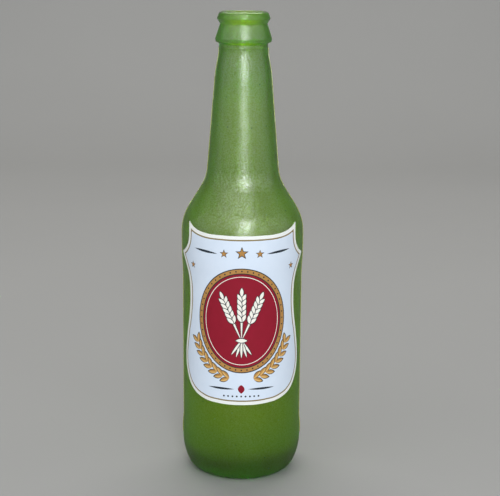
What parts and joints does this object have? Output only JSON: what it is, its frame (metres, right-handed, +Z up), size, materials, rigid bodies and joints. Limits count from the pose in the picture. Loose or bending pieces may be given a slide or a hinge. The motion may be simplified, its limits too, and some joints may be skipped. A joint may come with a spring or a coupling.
{
  "type": "glass bottle",
  "caption": "Long-necked bottle of satin green glass with a crown-cork finish, open and empty, with a die-cut paper label wrapped round its front.",
  "frame": {"origin": "centre of the base, on the plane that the bottle stands on", "axes": "+Z up along the bottle's axis; the label faces -Y; the mould seams are at +X and -X"},
  "size_m": [0.0616, 0.0611, 0.235],
  "materials": {
    "green_glass": "satin, etched outside and smooth inside",
    "label_glue": "dried film",
    "label_paper": "coated, semi-matt, printed"
  },
  "bodies": {
    "root": {"glass_bottle": "green_glass", "label_adhesive": "label_glue", "front_label": "label_paper"}
  },
  "joints": []
}
